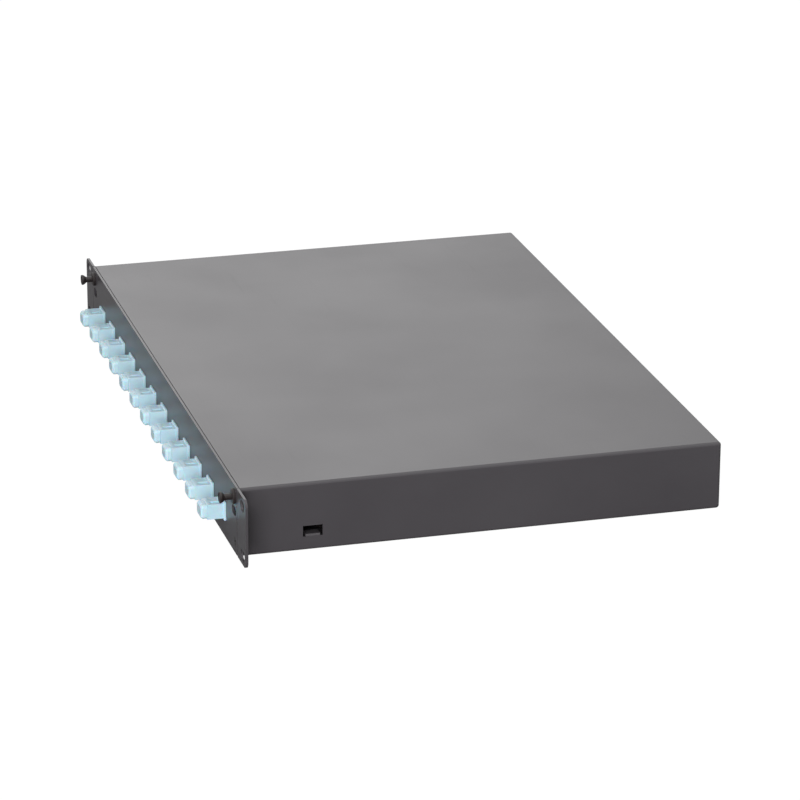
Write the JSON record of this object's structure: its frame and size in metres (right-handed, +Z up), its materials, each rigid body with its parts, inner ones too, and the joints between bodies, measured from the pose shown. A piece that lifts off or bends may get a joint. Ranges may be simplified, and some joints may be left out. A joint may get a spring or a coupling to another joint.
{
  "type": "fibre distribution panel",
  "caption": "Rack-mount fibre distribution panel with a pull-out drawer, a row of capped duplex adapters, a splice cassette and push-in drawer latches.",
  "frame": {"origin": "centre of the four rack slots, on the back face of the rack ears", "axes": "+X to the right as seen from the front, +Y towards the back of the rack, +Z up"},
  "size_m": [0.4826, 0.3325, 0.0436],
  "materials": {
    "panel_paint": "dark grey semi-gloss powder coat",
    "zinc_steel": "bright zinc plate",
    "black_screw": "black oxide",
    "spring_steel": "spring stainless",
    "brass": "plain brass",
    "grommet_rubber": "black rubber",
    "black_nylon": "moulded black nylon",
    "glide_nylon": "natural nylon",
    "adapter_aqua": "pale aqua moulding",
    "cap_plastic": "milky translucent plastic",
    "sleeve_ceramic": "white zirconia",
    "cassette_plastic": "moulded dark grey plastic",
    "comb_plastic": "natural white elastomer",
    "clear_lid": "clear polycarbonate"
  },
  "bodies": {
    "chassis": {"roof_panel": "panel_paint", "side_wall_left": "panel_paint", "side_wall_right": "panel_paint", "rear_wall": "panel_paint", "base_frame": "panel_paint", "rack_ear_left": "panel_paint", "rack_ear_right": "panel_paint", "stop_tabs": "panel_paint", "base_plate": "panel_paint", "base_screws": "zinc_steel", "latch_brackets": "panel_paint", "entry_grommet_left": "grommet_rubber", "entry_grommet_right": "grommet_rubber", "blanking_plugs": "black_nylon", "earth_stud": "brass", "earth_washer": "zinc_steel", "earth_nut": "brass"},
    "drawer": {"drawer_tray": "panel_paint", "tray_sides": "panel_paint", "tray_ends": "panel_paint", "glide_pads": "glide_nylon", "front_plate": "panel_paint", "plate_screws": "black_screw", "latch_grommets": "black_nylon", "adapter_01": "adapter_aqua", "adapter_02": "adapter_aqua", "adapter_03": "adapter_aqua", "adapter_04": "adapter_aqua", "adapter_05": "adapter_aqua", "adapter_06": "adapter_aqua", "adapter_07": "adapter_aqua", "adapter_08": "adapter_aqua", "adapter_09": "adapter_aqua", "adapter_10": "adapter_aqua", "adapter_11": "adapter_aqua", "adapter_12": "adapter_aqua", "adapter_clips": "spring_steel", "sleeve_holders": "black_nylon", "alignment_sleeves": "sleeve_ceramic", "cassette_base": "cassette_plastic", "splice_combs": "comb_plastic", "cassette_lid": "clear_lid", "cassette_stud": "zinc_steel", "cassette_thumb_nut": "black_nylon", "guide_rings": "black_nylon", "cable_anchors": "zinc_steel"},
    "latch_left": {"latch_plunger_left": "black_nylon"},
    "latch_right": {"latch_plunger_right": "black_nylon"},
    "cap_01": {"dust_cap_01": "cap_plastic"},
    "cap_02": {"dust_cap_02": "cap_plastic"},
    "cap_03": {"dust_cap_03": "cap_plastic"},
    "cap_04": {"dust_cap_04": "cap_plastic"},
    "cap_05": {"dust_cap_05": "cap_plastic"},
    "cap_06": {"dust_cap_06": "cap_plastic"},
    "cap_07": {"dust_cap_07": "cap_plastic"},
    "cap_08": {"dust_cap_08": "cap_plastic"},
    "cap_09": {"dust_cap_09": "cap_plastic"},
    "cap_10": {"dust_cap_10": "cap_plastic"},
    "cap_11": {"dust_cap_11": "cap_plastic"},
    "cap_12": {"dust_cap_12": "cap_plastic"}
  },
  "joints": [
    {"name": "drawer_slide", "type": "slide", "parent": "chassis", "child": "drawer", "axis": [0, -1, 0], "range_m": [0, 0.23]},
    {"name": "latch_left_push", "type": "slide", "parent": "drawer", "child": "latch_left", "axis": [0, 1, 0], "range_m": [0, 0.0045]},
    {"name": "latch_right_push", "type": "slide", "parent": "drawer", "child": "latch_right", "axis": [0, 1, 0], "range_m": [0, 0.0045]},
    {"name": "cap_01_pull", "type": "slide", "parent": "drawer", "child": "cap_01", "axis": [0, -1, 0], "range_m": [0, 0.008]},
    {"name": "cap_02_pull", "type": "slide", "parent": "drawer", "child": "cap_02", "axis": [0, -1, 0], "range_m": [0, 0.008]},
    {"name": "cap_03_pull", "type": "slide", "parent": "drawer", "child": "cap_03", "axis": [0, -1, 0], "range_m": [0, 0.008]},
    {"name": "cap_04_pull", "type": "slide", "parent": "drawer", "child": "cap_04", "axis": [0, -1, 0], "range_m": [0, 0.008]},
    {"name": "cap_05_pull", "type": "slide", "parent": "drawer", "child": "cap_05", "axis": [0, -1, 0], "range_m": [0, 0.008]},
    {"name": "cap_06_pull", "type": "slide", "parent": "drawer", "child": "cap_06", "axis": [0, -1, 0], "range_m": [0, 0.008]},
    {"name": "cap_07_pull", "type": "slide", "parent": "drawer", "child": "cap_07", "axis": [0, -1, 0], "range_m": [0, 0.008]},
    {"name": "cap_08_pull", "type": "slide", "parent": "drawer", "child": "cap_08", "axis": [0, -1, 0], "range_m": [0, 0.008]},
    {"name": "cap_09_pull", "type": "slide", "parent": "drawer", "child": "cap_09", "axis": [0, -1, 0], "range_m": [0, 0.008]},
    {"name": "cap_10_pull", "type": "slide", "parent": "drawer", "child": "cap_10", "axis": [0, -1, 0], "range_m": [0, 0.008]},
    {"name": "cap_11_pull", "type": "slide", "parent": "drawer", "child": "cap_11", "axis": [0, -1, 0], "range_m": [0, 0.008]},
    {"name": "cap_12_pull", "type": "slide", "parent": "drawer", "child": "cap_12", "axis": [0, -1, 0], "range_m": [0, 0.008]}
  ]
}
